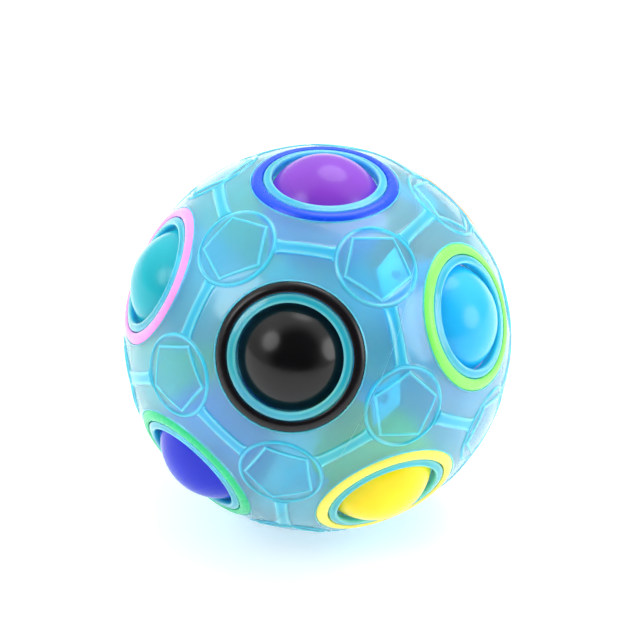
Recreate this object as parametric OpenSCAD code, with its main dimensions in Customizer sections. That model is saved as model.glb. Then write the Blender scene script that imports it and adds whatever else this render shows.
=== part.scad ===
// Hollow press-and-roll ball puzzle: a round shell in two halves with twelve round windows,
// a coloured ring round each window, and eleven loose balls held out against the windows by a
// soft rubber core. One window is empty, and a ball beside it can be pressed in and rolled
// over into it. Millimetres, +Z up. The origin is on the surface that the puzzle stands on,
// under the centre of the round shell. The windows sit at the corners of an icosahedron: one
// at the top, two rows of five, and the empty one at the bottom, whose lip the puzzle stands on.

/* [Shell] */
// Outside diameter of the round shell
shell_d = 75; // [75:0.5:77]
// Thickness of the moulded wall
shell_wall = 2.2; // [2:0.1:2.6]

/* [Windows] */
// Diameter of each round window
window_d = 20.1; // [20:0.1:20.5]
// Width of the lip between a window and its ring groove
lip_w = 1.6; // [1.2:0.1:1.8]
// Width of the flat land on the lip
land_w = 0.45; // [0.3:0.05:0.7]
// Depth of the ring groove at its inner side
groove_depth = 1.65; // [1.3:0.05:1.7]

/* [Rings] */
// Width of a coloured ring
ring_w = 2; // [1.6:0.1:2.2]
// Open gap between a ring and the window lip
ring_gap = 0.25; // [0.1:0.05:0.4]
// Height that a ring's crown stands above the round surface
ring_proud = 0.3; // [0.1:0.05:0.4]
// Radius of a ring's rounded crown
ring_crown_r = 1.7; // [1.6:0.1:2.2]

/* [Balls] */
// Diameter of each loose ball
ball_d = 23; // [22.6:0.1:23.4]
// Running gap between a seated ball and the inner edge of its window
seat_gap = 0.08; // [0.05:0.01:0.15]

/* [Core] */
// Running gap between the soft core and the seated balls
core_gap = 0.1; // [0.05:0.05:0.3]
// Wall of the hollow soft core
core_wall = 2.5; // [2:0.5:4]

/* [Relief] */
// Height that the moulded relief stands above the round surface
relief_h = 0.3; // [0.2:0.05:0.5]
// Diameter of the round pads where three window fields meet
pad_d = 16.4; // [16.2:0.2:16.6]
// Width of the raised rim round each pad
pad_rim_w = 0.9; // [0.8:0.1:1.2]
// Distance from a pad's centre to the corners of its raised pentagon
pentagon_r = 6.9; // [6:0.1:7]
// Width of the raised bars that join the pads
bar_w = 2.3; // [1.6:0.1:3]

/* [Snap joints] */
// Thickness of the kite-shaped catch plate under a pad
plate_t = 1; // [0.8:0.1:1.2]
// Side of the square catch that snaps into a tongue
catch_side = 1.8; // [1.4:0.1:2]
// Width of a tongue that reaches across the seam
tongue_w = 4; // [3.6:0.1:4.4]
// Thickness of a tongue
tongue_t = 0.9; // [0.8:0.1:1]
// Running gap round a tongue
snap_gap = 0.1; // [0.05:0.05:0.15]

/* [Hidden] */
$fn = 96;
outer_r = shell_d / 2;
inner_r = outer_r - shell_wall;
// Extra length that a cutting or joining shape runs past the surface that it meets
over = 1;
bite = 0.5;

// Angles of the icosahedron, in degrees: the step round a row of windows, the latitude of a
// row, the angle from a window to a pad, half the angle between two joined pads, the latitude
// of the pads beside the seam, and the slant of a bar that crosses the seam
row_step = 72;
half_step = row_step / 2;
row_lat = atan(1 / 2);
window_to_pad = 37.377;
bar_half_angle = 20.905;
seam_pad_lat = 10.812;
seam_bar_slant = 58.283;
// Azimuths of the first window of each row, and the left half's own window that the seam is
// square to
front_az = 270;
back_az = 90;
left_az = 198;

// Radii from a window's axis, and heights along it
window_r = window_d / 2;
land_r = window_r + land_w;
land_h = sphere_h(outer_r, land_r);
groove_in_r = window_r + lip_w;
ring_in_r = groove_in_r + ring_gap;
ring_out_r = ring_in_r + ring_w;
ring_play = 0.05;
groove_out_r = ring_out_r + ring_play;
groove_floor_h = sphere_h(outer_r, groove_in_r) - groove_depth;
ring_mid_angle = asin((ring_in_r + ring_out_r) / shell_d);
crown_rho = outer_r + ring_proud - ring_crown_r;

// The seated ball's distance from the centre, and the core that it presses on
ball_r = ball_d / 2;
ball_rho = sphere_h(inner_r, window_r) - sphere_h(ball_r + seat_gap, window_r);
core_r = ball_rho - ball_r - core_gap;

// Relief: the bars end inside the pads' rims
pad_r = pad_d / 2;
pad_angle = asin((pad_r - pad_rim_w / 2) / outer_r);
bar_half_l = outer_r * sin(bar_half_angle - pad_angle);
prism_low_h = sphere_h(outer_r, pad_r) - over;
prism_high_h = outer_r + over;

// Snap joints, as places along the way from a pad's centre to the seam and heights along the
// pad's axis
kite = [[0.4, 0], [3, 5.6], [7.2, 0], [3, -5.6]];
catch_x = 4.1;
tongue_tip_x = 2.6;
tongue_root_x = 9;
tongue_root_l = 2.2;
plate_h = inner_r - plate_t;
tongue_top_h = plate_h - snap_gap;
root_top_h = inner_r - bite;

// Each window: azimuth, latitude, name and colour of its ring, name and colour of its ball
WINDOWS = [
    [0, 90, "blue", "RoyalBlue", "purple", "MediumPurple"],
    [front_az, row_lat, "black", "#231c23", "black", "#1c1c1e"],
    [front_az + row_step, row_lat, "lime", "#96fa78", "sky", "#50d2ff"],
    [front_az + 2 * row_step, row_lat, "orange", "DarkOrange", "red", "Crimson"],
    [front_az + 3 * row_step, row_lat, "red", "Crimson", "green", "#32d78c"],
    [left_az, row_lat, "pink", "#faaaeb", "teal", "#14c8dc"],
    [back_az, -row_lat, "purple", "MediumPurple", "orange", "DarkOrange"],
    [back_az + row_step, -row_lat, "teal", "#14c8dc", "lime", "#96fa78"],
    [back_az + 2 * row_step, -row_lat, "green", "#32d78c", "blue", "RoyalBlue"],
    [back_az + 3 * row_step, -row_lat, "yellow", "#fcf06e", "yellow", "#ffeb3c"],
    [back_az + 4 * row_step, -row_lat, "sky", "#50d2ff", "pink", "#faaaeb"],
    [0, -90, "white", "WhiteSmoke", "", ""]
];
BALL_WINDOWS = [for (w = WINDOWS) if (w[4] != "") w];

// Height of a sphere's surface above a plane through its centre, at distance r from its axis
function sphere_h(sphere_r, r) = sqrt(sphere_r ^ 2 - r ^ 2);

// Points the children's +Z along a direction, with their +X towards lower latitudes
module along(az, lat) {
    rotate([0, 90 - lat, az]) children();
}

// Lifts what is drawn round the shell's centre so that the empty window's lip stands at z = 0
module standing() {
    translate([0, 0, land_h]) children();
}

module tube(r_in, r_out, h_low, h_high) {
    translate([0, 0, h_low]) difference() {
        cylinder(r = r_out, h = h_high - h_low);
        translate([0, 0, -over]) cylinder(r = r_in, h = h_high - h_low + 2 * over);
    }
}

// The half shells are drawn with their own middle window at +Z and the seam at z = 0.
// The space on a half's own side of the seam
module own_side() {
    translate([-shell_d, -shell_d, 0]) cube([2 * shell_d, 2 * shell_d, shell_d]);
}

// What one window takes away: the hole, the flat land on its lip and the ring groove
module window_cut() {
    cylinder(r = window_r, h = shell_d);
    translate([0, 0, land_h]) cylinder(r = land_r, h = shell_d);
    tube(groove_in_r, groove_out_r, groove_floor_h, shell_d);
}

module window_cuts() {
    window_cut();
    for (i = [0:4]) along(half_step + i * row_step, row_lat) window_cut();
}

// A pad's outline: a raised rim round a raised pentagon, with one corner at turn
module pad(turn) {
    tube(pad_r - pad_rim_w, pad_r, prism_low_h, prism_high_h);
    translate([0, 0, prism_low_h]) rotate([0, 0, turn])
        cylinder(r = pentagon_r, h = prism_high_h - prism_low_h, $fn = 5);
}

module bar(turn) {
    rotate([0, 0, turn]) translate([-bar_half_l, -bar_w / 2, prism_low_h])
        cube([2 * bar_half_l, bar_w, prism_high_h - prism_low_h]);
}

// The outlines of the pads and bars on one half, as short prisms through the wall's surface
module relief_prisms() {
    for (i = [0:4]) {
        az = i * row_step;
        along(az, 90 - window_to_pad) pad(180);
        along(az, seam_pad_lat) pad(0);
        along(az + half_step, -seam_pad_lat) pad(180);
        along(az + half_step, 90 - (90 - row_lat) / 2) bar(90);
        along(az, seam_pad_lat + bar_half_angle) bar(0);
        along(az + half_step / 2, 0) bar(seam_bar_slant);
        along(az - half_step / 2, 0) bar(-seam_bar_slant);
    }
}

module relief() {
    intersection() {
        difference() {
            sphere(r = outer_r + relief_h);
            sphere(r = outer_r - bite);
        }
        relief_prisms();
        own_side();
    }
}

module wall() {
    intersection() {
        difference() {
            sphere(r = outer_r);
            sphere(r = inner_r);
        }
        own_side();
    }
}

// Under each of the five pads beside the seam: a kite-shaped plate with a square catch
module catch_plates() {
    for (i = [0:4]) along(i * row_step, seam_pad_lat) {
        translate([0, 0, plate_h]) linear_extrude(plate_t) polygon(kite);
        translate([catch_x - catch_side / 2, -catch_side / 2, plate_h - tongue_t - snap_gap])
            cube([catch_side, catch_side, tongue_t + snap_gap]);
    }
}

// Tongues that reach across the seam under the other half's plates, each with a square hole
module tongues() {
    hole = catch_side + 2 * snap_gap;
    for (i = [0:4]) along(half_step + i * row_step, -seam_pad_lat) difference() {
        translate([-tongue_root_x, -tongue_w / 2, tongue_top_h - tongue_t])
            cube([tongue_root_x - tongue_tip_x, tongue_w, tongue_t]);
        translate([-catch_x - hole / 2, -hole / 2, 0]) cube([hole, hole, shell_d]);
    }
}

// The tongues' roots, joined to the wall on their own side of the seam
module tongue_roots() {
    for (i = [0:4]) along(half_step + i * row_step, -seam_pad_lat)
        translate([-tongue_root_x, -tongue_w / 2, tongue_top_h - tongue_t])
            cube([tongue_root_l, tongue_w, root_top_h - tongue_top_h + tongue_t]);
}

module half_shell() {
    difference() {
        union() {
            wall();
            relief();
        }
        window_cuts();
    }
    intersection() {
        catch_plates();
        own_side();
    }
    tongues();
    intersection() {
        tongue_roots();
        own_side();
    }
}

module left_shell() {
    color("SkyBlue") standing() along(left_az, row_lat) half_shell();
}

// The other half is the same moulding, turned end for end
module right_shell() {
    color("LightSkyBlue") standing() along(left_az, row_lat)
        mirror([0, 0, 1]) rotate([0, 0, 180]) half_shell();
}

module ring(w) {
    crown = crown_rho * [sin(ring_mid_angle), cos(ring_mid_angle)];
    color(w[3]) standing() along(w[0], w[1]) rotate_extrude() intersection() {
        translate(crown) circle(r = ring_crown_r);
        translate([ring_in_r, groove_floor_h]) square([ring_w, shell_d]);
    }
}

module ball(w) {
    color(w[5]) standing() along(w[0], w[1]) translate([0, 0, ball_rho]) sphere(r = ball_r);
}

module core() {
    color("Gainsboro") standing() difference() {
        sphere(r = core_r);
        sphere(r = core_r - core_wall);
    }
}

left_shell();
right_shell();
core();
for (w = WINDOWS) {
    ring(w);
}
for (w = BALL_WINDOWS) {
    ball(w);
}
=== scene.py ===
"""A hollow ball puzzle: a frosted blue shell, twelve ringed windows, eleven balls and a soft core."""
import math

import bmesh
import bpy
import numpy as np
from mathutils import Matrix, Vector
from mathutils.geometry import tessellate_polygon


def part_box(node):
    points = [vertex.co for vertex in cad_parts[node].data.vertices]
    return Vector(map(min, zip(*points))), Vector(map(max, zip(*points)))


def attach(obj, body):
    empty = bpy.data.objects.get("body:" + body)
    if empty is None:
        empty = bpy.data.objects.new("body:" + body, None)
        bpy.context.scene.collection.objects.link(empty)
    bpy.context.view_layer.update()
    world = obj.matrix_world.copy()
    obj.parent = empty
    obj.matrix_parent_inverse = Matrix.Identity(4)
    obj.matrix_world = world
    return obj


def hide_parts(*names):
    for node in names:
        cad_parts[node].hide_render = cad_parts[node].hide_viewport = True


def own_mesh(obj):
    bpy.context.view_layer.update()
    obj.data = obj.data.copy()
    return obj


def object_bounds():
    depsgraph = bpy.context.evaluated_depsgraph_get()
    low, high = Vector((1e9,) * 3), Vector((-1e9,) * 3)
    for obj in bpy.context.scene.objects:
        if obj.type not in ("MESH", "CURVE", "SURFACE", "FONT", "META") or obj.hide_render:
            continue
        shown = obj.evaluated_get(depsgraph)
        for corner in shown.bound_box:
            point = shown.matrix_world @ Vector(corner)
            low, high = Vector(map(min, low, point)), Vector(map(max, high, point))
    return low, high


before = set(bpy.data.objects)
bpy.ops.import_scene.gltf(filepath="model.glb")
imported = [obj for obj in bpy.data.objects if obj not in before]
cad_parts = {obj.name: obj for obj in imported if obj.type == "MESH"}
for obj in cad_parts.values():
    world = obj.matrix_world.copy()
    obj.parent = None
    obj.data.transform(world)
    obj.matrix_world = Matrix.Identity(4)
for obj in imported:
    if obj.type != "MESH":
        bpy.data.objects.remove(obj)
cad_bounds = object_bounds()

MM = 0.001

# ---------------------------------------------------------------- sizes, in millimetres
# The balls, the core and the rings give their own sizes and places through the frame.


def box_mm(node):
    """The lowest and highest corners of a CAD node, in millimetres."""
    return np.array([tuple(corner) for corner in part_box(node)]) / MM


CORE_BOX = box_mm("core")
CENTRE = (CORE_BOX[0] + CORE_BOX[1]) / 2
CORE_R = (CORE_BOX[1][2] - CORE_BOX[0][2]) / 2
TOP_BALL = box_mm("ball_purple") - CENTRE
BALL_R = (TOP_BALL[1][2] - TOP_BALL[0][2]) / 2
BALL_RHO = (TOP_BALL[1][2] + TOP_BALL[0][2]) / 2
TOP_RING = box_mm("ring_blue") - CENTRE
RING_OUT_R = TOP_RING[1][0]
GROOVE_FLOOR_H = TOP_RING[0][2]
LAND_H = CENTRE[2] - box_mm("right_shell")[0][2]

SHELL_R = 37.5
WALL = 2.2
INNER_R = SHELL_R - WALL
WINDOW_R = 10.05
LIP_W = 1.6
RING_W = 2.0
RING_PROUD = 0.3
RING_CROWN_R = 1.7
RING_IN_R = RING_OUT_R - RING_W
GROOVE_IN_R = WINDOW_R + LIP_W
RING_SIDE_GAP, RING_FOOT_GAP = 0.05, 0.02
GROOVE_OUT_R = RING_OUT_R + RING_SIDE_GAP
RELIEF_H = 0.3
PAD_R = 8.2
PAD_RIM_W = 0.9
PENTAGON_R = 6.9
BAR_W = 2.3
SEAM_GAP = 0.03

# Angles of the icosahedron, in degrees
ROW_STEP = 72
ROW_LAT = math.degrees(math.atan(0.5))
HALF_EDGE = (90 - ROW_LAT) / 2
COLLAR_ANGLE = 22.5
NEIGHBOUR_ANGLE = 70  # more than from a window to its neighbours, less than to the next ones
FRONT_AZ, BACK_AZ, LEFT_AZ = 270, 90, 198

# Each window: azimuth, latitude, ring and ball
WINDOWS = [
    (0, 90, "blue", "purple"),
    (FRONT_AZ, ROW_LAT, "black", "black"),
    (FRONT_AZ + ROW_STEP, ROW_LAT, "lime", "sky"),
    (FRONT_AZ + 2 * ROW_STEP, ROW_LAT, "orange", "red"),
    (FRONT_AZ + 3 * ROW_STEP, ROW_LAT, "red", "green"),
    (LEFT_AZ, ROW_LAT, "pink", "teal"),
    (BACK_AZ, -ROW_LAT, "purple", "orange"),
    (BACK_AZ + ROW_STEP, -ROW_LAT, "teal", "lime"),
    (BACK_AZ + 2 * ROW_STEP, -ROW_LAT, "green", "blue"),
    (BACK_AZ + 3 * ROW_STEP, -ROW_LAT, "yellow", "yellow"),
    (BACK_AZ + 4 * ROW_STEP, -ROW_LAT, "sky", "pink"),
    (0, -90, "white", None),
]

# Colours as display values from 0 to 1
RING_COLOURS = {
    "blue": (0.05, 0.30, 0.90), "black": (0.05, 0.035, 0.05), "lime": (0.55, 0.97, 0.42),
    "orange": (0.99, 0.55, 0.16), "red": (0.90, 0.16, 0.18), "pink": (0.97, 0.62, 0.90),
    "purple": (0.56, 0.30, 0.82), "teal": (0.06, 0.72, 0.78), "green": (0.16, 0.80, 0.52),
    "yellow": (0.99, 0.93, 0.38), "sky": (0.30, 0.78, 0.98), "white": (0.94, 0.94, 0.95),
}
BALL_COLOURS = {
    "purple": (0.52, 0.24, 0.77), "black": (0.03, 0.028, 0.035), "sky": (0.14, 0.72, 0.97),
    "red": (0.90, 0.14, 0.16), "green": (0.12, 0.72, 0.42), "teal": (0.01, 0.69, 0.75),
    "orange": (0.98, 0.50, 0.12), "lime": (0.52, 0.92, 0.30), "blue": (0.05, 0.14, 0.79),
    "yellow": (1.0, 0.89, 0.05), "pink": (0.97, 0.55, 0.84),
}


# ---------------------------------------------------------------- directions and mesh building


def direction(az, lat):
    """The unit vector at an azimuth and a latitude, in degrees."""
    turn, rise = math.radians(az), math.radians(lat)
    return np.array([math.cos(rise) * math.cos(turn), math.cos(rise) * math.sin(turn), math.sin(rise)])


def unit(v):
    return v / np.linalg.norm(v)


def tangent_towards(n, target):
    """The unit tangent at n along the great circle to target."""
    return unit(target - (target @ n) * n)


def height_on(radius, r):
    """Height of a sphere's surface at a distance r from the axis."""
    return math.sqrt(radius * radius - r * r)


def spokes_round(axis, side, count):
    """Unit vectors square to an axis, in equal steps round it from side."""
    other = np.cross(axis, side)
    turns = [2 * math.pi * i / count for i in range(count)]
    return [math.cos(t) * side + math.sin(t) * other for t in turns]


WINDOW_DIRS = [direction(az, lat) for az, lat, _, _ in WINDOWS]
SEAM_AXIS = direction(LEFT_AZ, ROW_LAT)


def triples():
    """The twenty sets of three windows round a pad, the one its pentagon points at first."""
    found = []
    near = math.cos(math.radians(NEIGHBOUR_ANGLE))
    for i in range(12):
        for j in range(i + 1, 12):
            for k in range(j + 1, 12):
                a, b, c = WINDOW_DIRS[i], WINDOW_DIRS[j], WINDOW_DIRS[k]
                if a @ b > near and b @ c > near and a @ c > near:
                    found.append(order_triple([a, b, c]))
    return found


def order_triple(dirs):
    """First the window that stands alone on its side of the row, then the others counterclockwise."""
    heights = [round(float(d @ SEAM_AXIS), 3) for d in dirs]
    lone = next(i for i in range(3) if heights.count(heights[i]) == 1)
    first, b, c = dirs[lone], dirs[lone - 2], dirs[lone - 1]
    if np.cross(first, b) @ c < 0:
        b, c = c, b
    return first, b, c


SHARP_ANGLE = math.radians(38)


class Builder:
    """Collects points and faces in millimetres, then makes one welded object in metres."""

    def __init__(self):
        self.points, self.faces, self.tones, self.count = [], [], [], 0

    def grid(self, rows, closed, flip=False, tones=None):
        """rows: equal lists of points; faces join neighbouring rows, and the row's ends where closed."""
        rows = np.asarray(rows, float)
        m, n = rows.shape[:2]
        base = self.count
        self.points.append(rows.reshape(-1, 3))
        self.tones.append(np.zeros(m * n) if tones is None else np.asarray(tones, float).reshape(-1))
        self.count += m * n
        for i in range(m - 1):
            for j in range(n if closed else n - 1):
                k = (j + 1) % n
                quad = (base + i * n + j, base + i * n + k, base + (i + 1) * n + k, base + (i + 1) * n + j)
                self.faces.append(quad[::-1] if flip else quad)

    def cap(self, ring, centre, flip=False, tone=0.0):
        """A fan from a closed ring of points to its centre."""
        ring = np.asarray(ring, float)
        n = len(ring)
        base = self.count
        self.points.append(np.vstack([ring, centre]))
        self.tones.append(np.full(n + 1, tone))
        self.count += n + 1
        for j in range(n):
            tri = (base + n, base + j, base + (j + 1) % n)
            self.faces.append(tri[::-1] if flip else tri)

    def welded(self, weld=2e-4):
        """The mesh with its near points joined."""
        bm = bmesh.new()
        tone = bm.verts.layers.float.new("tone")
        points, tones = np.vstack(self.points), np.concatenate(self.tones)
        verts = []
        for p, t in zip(points, tones, strict=True):
            v = bm.verts.new(p * MM)
            v[tone] = t
            verts.append(v)
        for face in self.faces:
            bm.faces.new([verts[i] for i in face])
        bmesh.ops.remove_doubles(bm, verts=bm.verts[:], dist=weld * MM)
        thin = [f for f in bm.faces if f.calc_area() < 1e-14]
        if thin:
            bmesh.ops.dissolve_degenerate(bm, edges=bm.edges[:], dist=weld * MM)
        return bm


def mesh_from(bm, name):
    """A mesh with smooth faces that meet sharply where they turn by more than SHARP_ANGLE."""
    bmesh.ops.recalc_face_normals(bm, faces=bm.faces[:])
    for f in bm.faces:
        f.smooth = True
    for e in bm.edges:
        if len(e.link_faces) == 2 and e.calc_face_angle(0.0) > SHARP_ANGLE:
            e.smooth = False
    mesh = bpy.data.meshes.new(name)
    bm.to_mesh(mesh)
    bm.free()
    return mesh


def object_from(bm, name):
    """Stands the mesh, which is built round the shell's centre, in its place in the frame."""
    bmesh.ops.translate(bm, verts=bm.verts[:], vec=Vector(CENTRE) * MM)
    obj = bpy.data.objects.new(name, mesh_from(bm, name))
    bpy.context.scene.collection.objects.link(obj)
    return obj


def cut(obj, cutter):
    """Takes the cutter's volume out of the object's mesh, and the cutter out of the scene."""
    modifier = obj.modifiers.new("cut", "BOOLEAN")
    modifier.object, modifier.operation, modifier.solver = cutter, "DIFFERENCE", "EXACT"
    bpy.context.view_layer.update()
    bm = bmesh.new()
    bm.from_object(obj, bpy.context.evaluated_depsgraph_get())
    obj.modifiers.clear()
    obj.data = mesh_from(bm, obj.name)
    bpy.data.objects.remove(cutter)


def lathe(profile, axis, count, closed_profile=True):
    """A ring of count steps round an axis through the centre, from (radius, height) points, as a Builder."""
    spokes = spokes_round(axis, unit(np.cross(axis, [0.31, 0.52, 0.79])), count)
    loop = list(profile) + ([profile[0]] if closed_profile else [])
    build = Builder()
    build.grid([[r * s + h * axis for s in spokes] for r, h in loop], closed=True)
    return build


def plug(axis, foot_h, top, crown_h, count=72):
    """A round solid about an axis: a flat foot, then up over top's (radius, height) points to its crown."""
    radius = top[0][0]
    build = lathe([(0.5 * radius, foot_h), (radius, foot_h), *top], axis, count, closed_profile=False)
    rings = build.points[0]
    build.cap(rings[:count], foot_h * axis, flip=True)
    build.cap(rings[-count:], crown_h * axis)
    return build


def arc(centre, radius, start, end, steps):
    """Points (r, h) on an arc; angles in degrees from the +r direction towards +h."""
    angles = [math.radians(start + (end - start) * i / steps) for i in range(steps + 1)]
    return [(centre[0] + radius * math.cos(a), centre[1] + radius * math.sin(a)) for a in angles]


# ---------------------------------------------------------------- the shell

SPOKES = 150  # steps round a pad, which put a spoke through each corner of its pentagon
SPOKE_STEP = 360 / SPOKES
COLLAR_SPOKES = 15  # steps from a window's direction to the end of its share of a pad's field
BAR_SPOKES = 10  # steps from a bar's middle line to the same place
FIELD_R = 8.4  # the circle round a pad where the field begins
FIELD_STEPS = 7
# The tone of the plastic is 0 on the fields, up to 1 on the sharp edges, where it paints a highlight into the
# colour, and negative on the frosted inside.
INSIDE_TONE, BAR_TONE, PAD_TONE = -1.0, 0.6, 0.3
INNER_STEPS = 5


def smooth_step(x, low, high):
    t = min(max((x - low) / (high - low), 0.0), 1.0)
    return t * t * (3 - 2 * t)


def bar_offset(j):
    """Distance of the j-th spoke from a bar's middle line at the far side of the field, in mm."""
    parallel = 5
    edge = SHELL_R * math.radians(HALF_EDGE - COLLAR_ANGLE)
    near = FIELD_R * math.sin(math.radians(SPOKE_STEP * min(abs(j), parallel)))
    if abs(j) <= parallel:
        return math.copysign(near, j)
    t = (abs(j) - parallel) / (BAR_SPOKES - parallel)
    return math.copysign(near + (edge - near) * (0.55 * t + 0.45 * t * t), j)


def field_edge(n, windows, i):
    """Where spoke i of the pad at n ends: at a window's collar or at the next pad's field."""
    third, step = divmod(i + COLLAR_SPOKES, SPOKES // 3)
    third %= 3
    offset = step - COLLAR_SPOKES
    w = windows[third]
    if offset <= COLLAR_SPOKES:
        side = np.cross(n, tangent_towards(n, w))
        psi = math.radians(offset * (ROW_STEP / 2) / COLLAR_SPOKES)
        ray = math.cos(psi) * tangent_towards(w, n) + math.sin(psi) * side
        a = math.radians(COLLAR_ANGLE)
        return math.cos(a) * w + math.sin(a) * ray
    nxt = windows[(third + 1) % 3]
    middle = unit(w + nxt)
    j = offset - COLLAR_SPOKES - BAR_SPOKES
    lam = bar_offset(j) / SHELL_R
    return math.cos(lam) * middle + math.sin(lam) * tangent_towards(middle, nxt)


def spoke_ray(n, first, i):
    t = tangent_towards(n, first)
    a = math.radians(SPOKE_STEP * i)
    return math.cos(a) * t + math.sin(a) * np.cross(n, t)


def pentagon_radius(i):
    """Distance from the pad's centre to its pentagon along spoke i."""
    turn = (SPOKE_STEP * i) % 72 - 36
    return PENTAGON_R * math.cos(math.radians(36)) / math.cos(math.radians(turn))


def pad_rings(i):
    """Along spoke i: (distance from the pad's centre, height above the round surface, tone)."""
    p = pentagon_radius(i)
    apothem = PENTAGON_R * math.cos(math.radians(36))
    plate_h = 0.5 * RELIEF_H
    out = []
    for share, squareness in ((0.22, 0.0), (0.5, 0.5), (0.78, 0.85)):
        circle = share * apothem
        out.append((circle + squareness * (share * p - circle), plate_h, PAD_TONE))
    # The tone of 0.85 on the pentagon's ridge is above BAR_TONE and paints a highlight along it.
    for gap, h, tone in ((-0.75, 0.5, 0.3), (-0.5, 0.55, 0.3), (-0.3, 0.85, 0.6), (-0.12, 1.0, 0.85),
                         (0.02, 0.8, 0.85), (0.14, 0.3, 0.4), (0.28, 0.02, 0.2)):
        out.append((p * (1 + gap / apothem), h * RELIEF_H, tone))
    last = out[-1][0]
    rim_in = PAD_R - PAD_RIM_W
    out.append((last + 0.5 * (max(rim_in, last + 0.04) - last), 0.0, 0.2))
    middle = PAD_R - PAD_RIM_W / 2
    # The tone of up to 0.8 on the rim's crest paints a highlight along it.
    for u in (-1.0, -0.72, -0.42, 0.0, 0.42, 0.72, 1.0):
        h = RELIEF_H * math.cos(u * math.pi / 2) ** 1.3 if abs(u) < 1 else 0.0
        r = max(middle + u * PAD_RIM_W / 2, last + 0.05 + 0.01 * u)
        out.append((r, h, PAD_TONE + 0.5 * (1 - abs(u))))
    out.append((FIELD_R, 0.0, 0.0))
    return out


def bar_relief(point_dir, n, windows, i):
    """Height and tone of the bars at a point of the field."""
    step = (i + COLLAR_SPOKES) % (SPOKES // 3)
    if step <= 2 * COLLAR_SPOKES:
        return 0.0, 0.0
    third = (i + COLLAR_SPOKES) // (SPOKES // 3) % 3
    w, nxt = windows[third], windows[(third + 1) % 3]
    middle = unit(w + nxt)
    across = abs(math.asin(float(point_dir @ tangent_towards(middle, nxt)))) * SHELL_R
    from_pad = math.acos(min(1.0, float(point_dir @ n))) * SHELL_R - PAD_R
    half = BAR_W / 2 - 0.1 + 0.4 * math.exp(-max(from_pad, 0) / 0.7)
    rise = 1 - smooth_step(across, half - 0.05, half + 0.35)
    # A ridge along each side of the bar whose tone rises towards 1, a painted highlight along that ridge.
    ridge_and_highlight = math.exp(-(((across - half + 0.12) / 0.28) ** 2))
    return RELIEF_H * (0.72 + 0.28 * ridge_and_highlight) * rise, (BAR_TONE + (1 - BAR_TONE) * ridge_and_highlight) * rise


def pad_field(build, windows):
    """The outside surface round one pad, out to its three windows' collars and half-way along its bars."""
    n = unit(sum(windows))
    rows, tones = [], []
    spokes = [spoke_ray(n, windows[0], i) for i in range(SPOKES)]
    columns = [pad_rings(i) for i in range(SPOKES)]
    for k in range(len(columns[0])):
        row, tone_row = [], []
        for i in range(SPOKES):
            distance, height, tone = columns[i][k]
            a = distance / SHELL_R
            row.append((SHELL_R + height) * (math.cos(a) * n + math.sin(a) * spokes[i]))
            tone_row.append(tone)
        rows.append(row)
        tones.append(tone_row)
    a = FIELD_R / SHELL_R
    starts = [math.cos(a) * n + math.sin(a) * s for s in spokes]
    ends = [field_edge(n, windows, i) for i in range(SPOKES)]
    rows.pop()
    tones.pop()
    for k in range(FIELD_STEPS + 1):
        t = (k / FIELD_STEPS) ** 1.25
        row, tone_row = [], []
        for i in range(SPOKES):
            d = unit(starts[i] + t * (ends[i] - starts[i])) if k < FIELD_STEPS else ends[i]
            height, tone = bar_relief(d, n, windows, i)
            row.append((SHELL_R + height) * d)
            tone_row.append(tone)
        rows.append(row)
        tones.append(tone_row)
    build.grid(rows, closed=True, tones=tones)
    build.cap(rows[0], (SHELL_R + 0.5 * RELIEF_H) * n, tone=PAD_TONE)


def pad_inside(build, windows):
    """The plain inside surface behind one pad's field."""
    n = unit(sum(windows))
    ends = [field_edge(n, windows, i) for i in range(SPOKES)]
    rows = []
    for k in range(1, INNER_STEPS + 1):
        t = k / INNER_STEPS
        rows.append([INNER_R * (unit(n + t * (e - n)) if k < INNER_STEPS else e) for e in ends])
    build.grid(rows, closed=True, flip=True, tones=np.full((len(rows), SPOKES), INSIDE_TONE))
    build.cap(rows[0], INNER_R * n, flip=True, tone=INSIDE_TONE)


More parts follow.
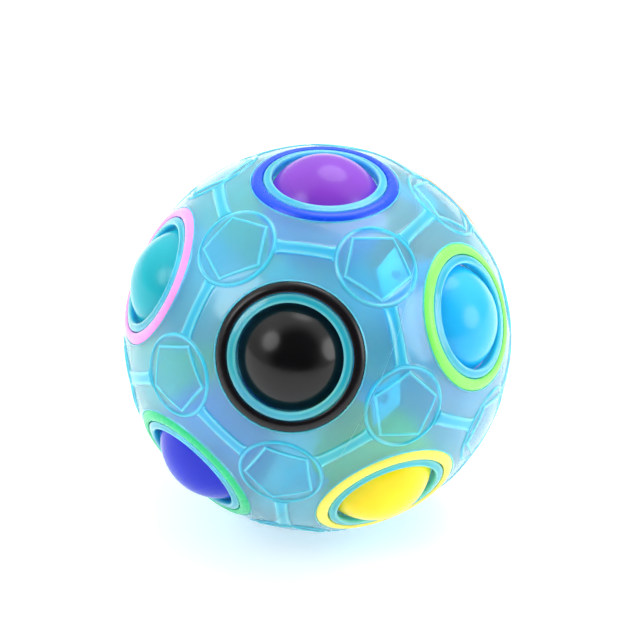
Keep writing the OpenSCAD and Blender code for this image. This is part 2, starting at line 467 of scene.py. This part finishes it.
def collar_profile():
    """(r, h, tone) from the field's edge over the groove and lip, down the bore and back out inside."""
    a = math.radians(COLLAR_ANGLE)
    floor = GROOVE_FLOOR_H - RING_FOOT_GAP
    round_r = 0.16
    out_edge_h = height_on(SHELL_R, GROOVE_OUT_R)
    points = [(SHELL_R * math.sin(a), SHELL_R * math.cos(a), 0.0)]
    points.append((GROOVE_OUT_R + 0.3, height_on(SHELL_R, GROOVE_OUT_R + 0.3) + 0.02, 0.5))
    # The tone of 0.8 on the groove's rounded edges paints a highlight along them.
    outer = arc((GROOVE_OUT_R + round_r, out_edge_h - round_r + 0.03), round_r, 90, 180, 3)
    points += [(r, h, 0.8) for r, h in outer]
    for r in (GROOVE_OUT_R, 0.5 * (GROOVE_IN_R + GROOVE_OUT_R), GROOVE_IN_R):
        points.append((r, floor, 0.5))
    lip_out_h = height_on(SHELL_R, GROOVE_IN_R)
    inner = arc((GROOVE_IN_R - round_r, lip_out_h - round_r - 0.03), round_r, 0, 90, 3)
    points += [(r, h, 0.8) for r, h in inner]
    land_out = WINDOW_R + 0.62
    lip_r = 0.5 * (land_out + GROOVE_IN_R - round_r)
    points.append((lip_r, height_on(SHELL_R, lip_r + 0.5 * round_r), BAR_TONE))
    points.append((land_out, LAND_H - 0.06, BAR_TONE))
    edge_r = 0.32
    # The tone of 0.9 on the window's edge paints a highlight along it.
    points += [(r, h, 0.9) for r, h in arc((WINDOW_R + edge_r, LAND_H - edge_r), edge_r, 90, 180, 4)]
    seat_h = height_on(INNER_R, WINDOW_R)
    points.append((WINDOW_R, 0.5 * (LAND_H + seat_h), 0.4))
    points += [(r, h, 0.4) for r, h in arc((WINDOW_R + 0.1, seat_h + 0.08), 0.1, 180, 250, 2)]
    for step in (0.6, 1.2, 1.8, 2.4, 2.9):
        points.append((WINDOW_R + step, height_on(INNER_R, WINDOW_R + step), INSIDE_TONE))
    points.append((INNER_R * math.sin(a), INNER_R * math.cos(a), INSIDE_TONE))
    return points


def collar(build, w, neighbour):
    """One window's collar, with its steps lined up with the fields round it."""
    steps = 10 * COLLAR_SPOKES
    spokes = spokes_round(w, tangent_towards(w, neighbour), steps)
    profile = collar_profile()
    rows = [[r * s + h * w for s in spokes] for r, h, _ in profile]
    tones = [[tone] * steps for _, _, tone in profile]
    build.grid(rows, closed=True, flip=True, tones=tones)


def whole_shell():
    build = Builder()
    pads = triples()
    for windows in pads:
        pad_field(build, windows)
        pad_inside(build, windows)
    for w in WINDOW_DIRS:
        pad = next(unit(sum(t)) for t in pads if any(np.allclose(w, x) for x in t))
        collar(build, w, pad)
    return build.welded()


def half_of(whole, axis, name):
    """The half on the +axis side of the seam, closed across the wall, with a hair's gap to the other half."""
    bm = whole.copy()
    bmesh.ops.bisect_plane(
        bm, geom=bm.verts[:] + bm.edges[:] + bm.faces[:], dist=1e-8,
        plane_co=Vector(axis) * SEAM_GAP / 2 * MM, plane_no=Vector(axis), clear_inner=True)
    rim = [e for e in bm.edges if e.is_boundary]
    for edge in rim:
        edge.smooth = False
    for face in bmesh.ops.bridge_loops(bm, edges=rim)["faces"]:
        face.material_index = 1
    return object_from(bm, name)


# ---------------------------------------------------------------- the snap joints inside the wall

KITE = [(0.4, 0.0), (3.0, 5.6), (6.4, 0.9), (6.4, -0.9), (3.0, -5.6)]
CATCH_X = 4.1
CATCH_SIDE = 1.8
PLATE_T = 1.0
SKIN_GAP = 0.03
TONGUE_W, TONGUE_T = 4.0, 0.9
TONGUE_TIP_X, TONGUE_ROOT_X = 2.6, 9.0
TONGUE_ROOT_LENGTH = 2.2
SNAP_GAP = 0.1
SNAP_BEVEL = 0.16
SEAM_REACH = 0.3  # the pads on the seam lie within this sine of it
PLATE_TONE, CATCH_TONE = 1.6, -0.6


def rectangle(x0, x1, half):
    return [(x0, -half), (x1, -half), (x1, half), (x0, half)]


def under_wall(x, y):
    """Height of the wall's inside surface, less a hair's gap."""
    return height_on(INNER_R, math.hypot(x, y)) - SKIN_GAP


class Snaps:
    """The plates, catches and tongues of one half, each a closed solid over a flat outline."""

    def __init__(self):
        self.bm = bmesh.new()
        self.tone = self.bm.verts.layers.float.new("tone")

    def stand_at(self, n, seaward):
        """Takes the frame of the snap at n: x towards the seam and z out through the wall."""
        self.z = n
        self.x = tangent_towards(n, seaward)
        self.y = np.cross(n, self.x)

    def prism(self, outline, top_of, bottom_of, tone, hole=()):
        """A solid over an outline, less a hole, between heights that may depend on x and y."""
        flat = [*outline, *hole]
        ends = []
        for height in (top_of, bottom_of):
            verts = []
            for x, y in flat:
                v = self.bm.verts.new((x * self.x + y * self.y + height(x, y) * self.z) * MM)
                v[self.tone] = tone
                verts.append(v)
            ends.append(verts)
        loops = [[Vector((x, y, 0)) for x, y in loop] for loop in (outline, hole) if loop]
        for tri in tessellate_polygon(loops):
            self.bm.faces.new([ends[0][i] for i in tri])
            self.bm.faces.new([ends[1][i] for i in reversed(tri)])
        for start, count in ((0, len(outline)), (len(outline), len(hole))):
            for i in range(count):
                here, there = start + i, start + (i + 1) % count
                self.bm.faces.new((ends[0][there], ends[0][here], ends[1][here], ends[1][there]))

    def add_catch(self):
        """A kite plate under the wall with a square catch that hangs from it."""
        plate_low = INNER_R - PLATE_T
        square = rectangle(CATCH_X - CATCH_SIDE / 2, CATCH_X + CATCH_SIDE / 2, CATCH_SIDE / 2)
        self.prism(KITE, under_wall, lambda x, y: plate_low, PLATE_TONE, hole=square)
        inside = rectangle(CATCH_X - CATCH_SIDE / 2 + SKIN_GAP, CATCH_X + CATCH_SIDE / 2 - SKIN_GAP,
                           CATCH_SIDE / 2 - SKIN_GAP)
        self.prism(inside, under_wall, lambda x, y: plate_low - TONGUE_T - SNAP_GAP, CATCH_TONE)

    def add_tongue(self):
        """A strip that crosses the seam, with a square hole round the catch and a root on its own wall."""
        top = INNER_R - PLATE_T - SNAP_GAP
        hole_half = CATCH_SIDE / 2 + SNAP_GAP
        hole = rectangle(CATCH_X - hole_half, CATCH_X + hole_half, hole_half)
        root_x = TONGUE_ROOT_X - TONGUE_ROOT_LENGTH
        strip = rectangle(TONGUE_TIP_X, root_x, TONGUE_W / 2)
        self.prism(strip, lambda x, y: top, lambda x, y: top - TONGUE_T, BAR_TONE, hole=hole)
        root = rectangle(root_x, TONGUE_ROOT_X, TONGUE_W / 2)
        self.prism(root, under_wall, lambda x, y: top - TONGUE_T, BAR_TONE)

    def finish(self, name):
        bm = self.bm
        bmesh.ops.recalc_face_normals(bm, faces=bm.faces[:])
        bmesh.ops.dissolve_limit(bm, angle_limit=0.01, verts=bm.verts[:], edges=bm.edges[:])
        bmesh.ops.bevel(bm, geom=bm.edges[:], offset=SNAP_BEVEL * MM, segments=1, affect="EDGES",
                        clamp_overlap=True, material=1)
        obj = object_from(bm, name)
        for polygon in obj.data.polygons:
            polygon.use_smooth = False
        return obj


def snap_parts(side, name):
    """One half's catches, on its pads before the seam, and its tongues, which reach over the seam."""
    axis = side * SEAM_AXIS
    snaps = Snaps()
    for windows in triples():
        n = unit(sum(windows))
        lat = float(n @ axis)
        if abs(lat) > SEAM_REACH:
            continue
        snaps.stand_at(n, -axis if lat > 0 else axis)
        if lat > 0:
            snaps.add_catch()
        else:
            snaps.add_tongue()
    return snaps.finish(name)


# ---------------------------------------------------------------- rings, balls and the core


def ring_profile():
    """A closed outline (r, h): flat foot, straight sides with small rounds, and a rounded crown."""
    middle = math.asin((RING_IN_R + RING_OUT_R) / 2 / SHELL_R)
    rho = SHELL_R + RING_PROUD - RING_CROWN_R
    centre = (rho * math.sin(middle), rho * math.cos(middle))
    soft = 0.12

    def crown(r):
        return centre[1] + math.sqrt(RING_CROWN_R**2 - (r - centre[0]) ** 2)

    foot = GROOVE_FLOOR_H
    points = [(RING_IN_R + soft, foot), (RING_IN_R, foot + soft)]
    points.append((RING_IN_R, 0.5 * (foot + crown(RING_IN_R))))
    points += arc((RING_IN_R + soft, crown(RING_IN_R + soft) - soft), soft, 180, 110, 2)
    steps = 9
    inner, outer = RING_IN_R + 1.4 * soft, RING_OUT_R - 0.7 * soft
    for i in range(1, steps):
        r = inner + (outer - inner) * i / steps
        points.append((r, crown(r)))
    points += arc((RING_OUT_R - soft, crown(RING_OUT_R) - 0.2 * soft), soft, 40, 0, 2)
    points.append((RING_OUT_R, 0.5 * (foot + crown(RING_OUT_R))))
    points += [(RING_OUT_R, foot + soft), (RING_OUT_R - soft, foot)]
    return points


def ring_piece(w, name):
    return object_from(lathe(ring_profile(), w, count=144).welded(), name)


def moulded_ball(centre, radius, pole, name, rows=48, columns=96):
    """A ball from two mould halves: a fine flash line at its middle and a round gate mark at one pole."""
    spokes = spokes_round(pole, unit(np.cross(pole, [0.62, 0.21, 0.35])), columns)
    flash_h, gate_h = 0.03, -0.06
    lats = [-90 + 180 * i / rows for i in range(1, rows)]
    lats += [-1.2, -0.6, 0.6, 1.2, 85.5, 86.1, 86.5]
    rings = []
    for lat in sorted(lats):
        a = math.radians(lat)
        rise = flash_h * max(0.0, 1 - abs(lat) / 0.9) + (gate_h if lat > 86.3 else 0.0)
        rings.append([centre + (radius + rise) * (math.cos(a) * s + math.sin(a) * pole) for s in spokes])
    build = Builder()
    build.grid(rings, closed=True)
    build.cap(rings[-1], centre + (radius + gate_h) * pole)
    build.cap(rings[0], centre - radius * pole, flip=True)
    return object_from(build.welded(weld=1e-4), name)


def core_piece(name):
    """The soft core: a hollow ball with a moulding line and a small filling plug."""
    pole = direction(40, 62)
    build = Builder()
    rows, columns = 56, 112
    spokes = spokes_round(pole, unit(np.cross(pole, [0.1, 0.9, 0.3])), columns)
    line_h, plug_h = 0.12, 0.09
    rings = []
    for lat in sorted([-90 + 180 * i / rows for i in range(1, rows)] + [-1.6, -0.8, 0.8, 1.6, 79.2, 80.4]):
        a = math.radians(lat)
        low = line_h * math.exp(-((lat / 1.1) ** 2)) + (plug_h if 79.0 < lat < 80.6 else 0.0)
        rings.append([(CORE_R - low) * (math.cos(a) * s + math.sin(a) * pole) for s in spokes])
    build.grid(rings, closed=True)
    build.cap(rings[-1], CORE_R * pole)
    build.cap(rings[0], -CORE_R * pole, flip=True)
    return object_from(build.welded(weld=1e-4), name)


# Where a ball presses in, the core's skin is a cushion of its own, which fills a pocket
POCKET_R = 7.3
POCKET_FLOOR_H = 12.1
CUSHION_GAP = 0.03
ROLLING_BALLS = ("blue", "yellow")


def cut_pocket(core, w):
    """A round pocket in the core under a ball, just wider than the place that a pressed ball touches."""
    above = CORE_R + 1.0
    walls = [(POCKET_R, above), (0.5 * POCKET_R, above)]
    cut(core, object_from(plug(w, POCKET_FLOOR_H, walls, above).welded(), "pocket"))


def cushion_piece(w, name):
    """The piece of the core's skin that fills a pocket."""
    radius = POCKET_R - CUSHION_GAP
    rim = math.degrees(math.acos(radius / CORE_R))
    top = arc((0, 0), CORE_R, rim, 87, 9)
    return object_from(plug(w, POCKET_FLOOR_H + CUSHION_GAP, top, CORE_R).welded(), name)


# ---------------------------------------------------------------- materials


def linear(colour):
    """Display values to the linear values that a shader takes."""
    return tuple(c / 12.92 if c <= 0.04045 else ((c + 0.055) / 1.055) ** 2.4 for c in colour)


class Nodes:
    """Short calls for building one material's node tree round its Principled shader."""

    def __init__(self, name):
        self.material = bpy.data.materials.new(name)
        self.material.use_nodes = True
        self.tree = self.material.node_tree
        self.shader = self.tree.nodes["Principled BSDF"]
        self.place = self.add("ShaderNodeTexCoord").outputs["Object"]

    def add(self, kind, **values):
        node = self.tree.nodes.new(kind)
        for key, value in values.items():
            setattr(node, key, value)
        return node

    def link(self, out, socket):
        self.tree.links.new(out, socket)

    def set(self, **values):
        """Constants on the shader's own sockets, with _ for a space in a socket's name."""
        for key, value in values.items():
            self.shader.inputs[key.replace("_", " ")].default_value = value

    def noise(self, scale, detail=2.0, roughness=0.5, where=None):
        node = self.add("ShaderNodeTexNoise")
        node.inputs["Scale"].default_value = scale
        node.inputs["Detail"].default_value = detail
        node.inputs["Roughness"].default_value = roughness
        self.link(where or self.place, node.inputs["Vector"])
        return node.outputs["Fac"]

    def spread(self, fac, low, high, start=0.3, end=0.7):
        """Maps a factor from start..end onto low..high."""
        node = self.add("ShaderNodeMapRange")
        for key, value in (("From Min", start), ("From Max", end), ("To Min", low), ("To Max", high)):
            node.inputs[key].default_value = value
        self.link(fac, node.inputs["Value"])
        return node.outputs["Result"]

    def mix(self, fac, a, b):
        """A colour between a and b, each a linear colour or an output."""
        node = self.add("ShaderNodeMix", data_type="RGBA")
        self.link(fac, node.inputs["Factor"])
        for socket, value in ((node.inputs[6], a), (node.inputs[7], b)):
            if isinstance(value, tuple):
                socket.default_value = (*value, 1.0)
            else:
                self.link(value, socket)
        return node.outputs[2]

    def let_light_in(self, colour):
        """Shadow rays cross the surface with this tint, so the lamps reach what lies behind it."""
        surface = self.tree.nodes["Material Output"].inputs["Surface"]
        clear = self.add("ShaderNodeBsdfTransparent")
        clear.inputs["Color"].default_value = (*colour, 1.0)
        sides = self.add("ShaderNodeMixShader")
        self.link(self.add("ShaderNodeLightPath").outputs["Is Shadow Ray"], sides.inputs["Fac"])
        self.link(self.shader.outputs["BSDF"], sides.inputs[1])
        self.link(clear.outputs["BSDF"], sides.inputs[2])
        self.link(sides.outputs["Shader"], surface)

    def curve(self, fac, points):
        """A factor through straight lines between (position, value) points."""
        node = self.add("ShaderNodeValToRGB")
        ramp = node.color_ramp
        while len(ramp.elements) < len(points):
            ramp.elements.new(0.5)
        for element, (position, value) in zip(ramp.elements, points, strict=True):
            element.position, element.color = position, (value, value, value, 1.0)
        self.link(fac, node.inputs["Fac"])
        return node.outputs["Color"]

    def bump(self, height, strength, distance):
        node = self.add("ShaderNodeBump")
        node.inputs["Strength"].default_value = strength
        node.inputs["Distance"].default_value = distance
        self.link(height, node.inputs["Height"])
        self.link(node.outputs["Normal"], self.shader.inputs["Normal"])


def shade(colour, factor):
    return tuple(min(1.0, c * factor) for c in colour)


def shell_material():
    """Translucent blue plastic: clear milky fields, bluer where it is thicker, with a painted highlight along
    its sharp edges.
    """
    m = Nodes("frosted_blue_plastic")
    clouds = m.spread(m.noise(90, detail=3.0), 0.0, 1.0)
    field = m.mix(clouds, linear((0.64, 0.92, 1.0)), linear((0.56, 0.91, 1.0)))
    tone = m.add("ShaderNodeAttribute", attribute_name="tone").outputs["Fac"]
    thicker = m.mix(m.spread(tone, 0.0, 1.0, 0.0, BAR_TONE), field, linear((0.22, 0.84, 1.0)))
    # Tone from BAR_TONE up to 1 moves the colour to a lighter blue, a painted highlight along the sharp
    # edges; the snap plates, with tone beyond 1, take this lighter blue too.
    edges = m.mix(m.spread(tone, 0.0, 1.0, BAR_TONE, 1.0), thicker, linear((0.58, 0.95, 1.0)))
    m.link(edges, m.shader.inputs["Base Color"])
    m.link(m.spread(tone, 0.36, 0.16, INSIDE_TONE, 0.0), m.shader.inputs["Roughness"])
    depth = m.spread(tone, 0.0, 1.0, 0.0, PLATE_TONE)
    clearness = ((0.0, 0.82), (PAD_TONE / PLATE_TONE, 0.84), (BAR_TONE / PLATE_TONE, 0.5), (1.0, 0.1))
    m.link(m.curve(depth, clearness), m.shader.inputs["Transmission Weight"])
    m.bump(m.noise(2600, detail=3.0, roughness=0.6), 0.06, 0.00004)
    m.set(IOR=1.49, Subsurface_Weight=1.0, Subsurface_Scale=0.0025)
    m.shader.inputs["Subsurface Radius"].default_value = (0.55, 0.9, 1.0)
    m.set(Coat_Weight=0.08, Coat_Roughness=0.08, Coat_IOR=1.5)
    m.let_light_in((0.72, 0.94, 1.0))
    return m.material


def edge_material():
    """The cut edges of the plates and tongues, which gather light and shine brighter than the wall."""
    m = Nodes("bright_cut_edges")
    colour = m.mix(m.noise(400), linear((0.05, 0.72, 0.96)), linear((0.12, 0.78, 1.0)))
    m.link(colour, m.shader.inputs["Base Color"])
    m.set(IOR=1.49, Roughness=0.2, Subsurface_Weight=0.6, Subsurface_Scale=0.002)
    return m.material


def seam_material():
    """The faces where the halves press on each other, which light crosses as if they were one."""
    m = Nodes("pressed_seam_faces")
    m.link(m.mix(m.noise(300), (0.97, 0.99, 1.0), (1.0, 1.0, 1.0)), m.shader.inputs["Base Color"])
    m.set(IOR=1.0, Roughness=0.0, Transmission_Weight=1.0)
    return m.material


def plastic_material(name, colour, gloss):
    """Solid coloured plastic with faint flow clouds in its colour and a fine, uneven polish."""
    m = Nodes(name)
    colour = linear(colour)
    clouds = m.spread(m.noise(130, detail=3.0), 0.0, 1.0)
    m.link(m.mix(clouds, shade(colour, 0.95), shade(colour, 1.04)), m.shader.inputs["Base Color"])
    m.link(m.spread(m.noise(260, detail=2.0), gloss - 0.03, gloss + 0.04), m.shader.inputs["Roughness"])
    m.bump(m.noise(700, detail=2.0, roughness=0.4), 0.05, 0.00002)
    m.set(IOR=1.38)
    return m.material


def rubber_material():
    """Pale silicone rubber, matt, with a fine moulded grain."""
    m = Nodes("soft_core_rubber")
    grain = m.noise(900, detail=5.0, roughness=0.65)
    clouds = m.spread(m.noise(70), 0.0, 1.0)
    colour = m.mix(clouds, linear((0.80, 0.89, 0.92)), linear((0.86, 0.93, 0.95)))
    m.link(colour, m.shader.inputs["Base Color"])
    m.link(m.spread(grain, 0.5, 0.68), m.shader.inputs["Roughness"])
    m.bump(grain, 0.3, 0.0001)
    m.set(Subsurface_Weight=0.3, Subsurface_Scale=0.003, Sheen_Weight=0.1)
    return m.material


def floor_material():
    """White studio floor with a faint glow, so that it stays pale under the soft shadow."""
    m = Nodes("pale_studio_floor")
    m.link(m.mix(m.noise(6), (0.95, 0.95, 0.95), (0.97, 0.97, 0.97)), m.shader.inputs["Base Color"])
    m.set(Roughness=0.6, Specular_IOR_Level=0.2)
    m.set(Emission_Color=(1.0, 1.0, 1.0, 1.0), Emission_Strength=0.35)
    return m.material


# ---------------------------------------------------------------- putting the object together


def place(obj, materials, body, slot, *nodes):
    """Gives a piece its materials, the body it rides and the CAD nodes it replaces; the slot argument is not
    used.
    """
    for material in materials:
        obj.data.materials.append(material)
    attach(obj, body)
    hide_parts(*nodes)


def build_shell():
    plastic, seam, edge = shell_material(), seam_material(), edge_material()
    whole = whole_shell()
    for side, name in ((1, "left_shell"), (-1, "right_shell")):
        place(half_of(whole, side * SEAM_AXIS, name + "_moulding"), [plastic, seam], "shell", "shell", name)
        place(snap_parts(side, name + "_snaps"), [plastic, edge], "shell", "shell", name)
    whole.free()


def build_rings():
    for w, (_, _, colour, _) in zip(WINDOW_DIRS, WINDOWS, strict=True):
        name = "ring_" + colour
        material = plastic_material(name + "_plastic", RING_COLOURS[colour], gloss=0.26)
        place(ring_piece(w, name + "_inlay"), [material], "shell", name, name)


def build_balls():
    for i, (w, (_, _, _, colour)) in enumerate(zip(WINDOW_DIRS, WINDOWS, strict=True)):
        if colour is None:
            continue
        name = "ball_" + colour
        pole = direction(67 * i + 20, 40 - 23 * (i % 4))
        ball = moulded_ball(BALL_RHO * w, BALL_R, pole, name + "_moulding")
        place(ball, [plastic_material(name + "_plastic", BALL_COLOURS[colour], gloss=0.2)], name, name, name)


def build_core():
    rubber = rubber_material()
    core = core_piece("core_skin")
    for w, (_, _, _, colour) in zip(WINDOW_DIRS, WINDOWS, strict=True):
        if colour is None or colour in ROLLING_BALLS:
            continue
        cut_pocket(core, w)
        cushion = cushion_piece(w, "core_cushion_" + colour)
        place(cushion, [rubber], "core", "core", "core")
        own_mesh(cushion)
    place(core, [rubber], "core", "core", "core")


# ---------------------------------------------------------------- camera, floor and light

CAMERA_AZ, CAMERA_EL, CAMERA_ROLL = -81.1, 32.7, 2.86
CAMERA_DISTANCE = 568.3
AIM_RIGHT, AIM_UP = 0.49, 3.51
LENS_MM, SENSOR_MM = 164.0, 36.0


def add_camera():
    back = Vector(direction(CAMERA_AZ, CAMERA_EL))
    level = Vector((0, 0, 1)).cross(back).normalized()
    roll = math.radians(CAMERA_ROLL)
    right = math.cos(roll) * level + math.sin(roll) * back.cross(level)
    up = back.cross(right)
    spot = Vector(CENTRE) + CAMERA_DISTANCE * back + AIM_RIGHT * right + AIM_UP * up
    data = bpy.data.cameras.new("camera")
    data.lens, data.sensor_width = LENS_MM, SENSOR_MM
    data.dof.use_dof = False
    data.clip_start = 0.01
    camera = bpy.data.objects.new("camera", data)
    rotation = Matrix((right, up, back)).transposed().to_4x4()
    camera.matrix_world = Matrix.Translation(spot * MM) @ rotation
    bpy.context.scene.collection.objects.link(camera)
    bpy.context.scene.camera = camera


FLOOR_HALF_SIZE = 3.0
FLOOR_GAP = 0.00005


def add_floor():
    bm = bmesh.new()
    bmesh.ops.create_grid(bm, x_segments=8, y_segments=8, size=FLOOR_HALF_SIZE)
    mesh = bpy.data.meshes.new("floor")
    bm.to_mesh(mesh)
    bm.free()
    floor = bpy.data.objects.new("floor", mesh)
    floor.location.z = cad_bounds[0][2] - FLOOR_GAP
    mesh.materials.append(floor_material())
    bpy.context.scene.collection.objects.link(floor)


def add_light(name, az, el, distance, size, power):
    """A round soft light that faces the object, placed by angle round it."""
    data = bpy.data.lights.new(name, "AREA")
    data.shape, data.size, data.energy = "DISK", size, power
    light = bpy.data.objects.new(name, data)
    centre = Vector(CENTRE) * MM
    light.location = centre + Vector(direction(az, el)) * distance
    light.rotation_euler = (light.location - centre).to_track_quat("Z", "Y").to_euler()
    bpy.context.scene.collection.objects.link(light)


WORLD_ZENITH, WORLD_HORIZON = 1.5, 0.8
FRONT_SHADE = 0.07


def sky_share(tree, axis, cosines, values):
    """An output that eases between two values as the cosine of the angle to an axis crosses a range."""
    toward = tree.nodes.new("ShaderNodeTexCoord").outputs["Generated"]
    cosine = tree.nodes.new("ShaderNodeVectorMath")
    cosine.operation = "DOT_PRODUCT"
    cosine.inputs[1].default_value = axis
    tree.links.new(toward, cosine.inputs[0])
    ease = tree.nodes.new("ShaderNodeMapRange")
    ease.interpolation_type = "SMOOTHSTEP"
    for key, value in zip(("From Min", "From Max", "To Min", "To Max"), (*cosines, *values), strict=True):
        ease.inputs[key].default_value = value
    tree.links.new(cosine.outputs["Value"], ease.inputs["Value"])
    return ease.outputs["Result"]


def add_world():
    """A white studio, brightest overhead, whose front side, where the photographer stands, is dark."""
    world = bpy.data.worlds.new("studio")
    world.use_nodes = True
    tree = world.node_tree
    front = direction(CAMERA_AZ, CAMERA_EL)
    strength = tree.nodes.new("ShaderNodeMath")
    strength.operation = "MULTIPLY"
    overhead = sky_share(tree, (0, 0, 1), (0.1, 0.8), (WORLD_HORIZON, WORLD_ZENITH))
    tree.links.new(overhead, strength.inputs[0])
    tree.links.new(sky_share(tree, front, (0.45, 0.8), (1.0, FRONT_SHADE)), strength.inputs[1])
    background = tree.nodes["Background"]
    background.inputs["Color"].default_value = (0.98, 0.99, 1.0, 1.0)
    tree.links.new(strength.outputs["Value"], background.inputs["Strength"])
    bpy.context.scene.world = world


add_camera()
add_floor()
add_world()
add_light("left_softbox", 215, 37, 0.9, 0.5, 2.6)
add_light("right_softbox", -6, 20, 0.9, 0.55, 3.2)
add_light("top_softbox", 79, 62, 1.0, 0.7, 4.0)
bpy.context.scene.view_settings.view_transform = "Standard"

build_shell()
build_rings()
build_balls()
build_core()
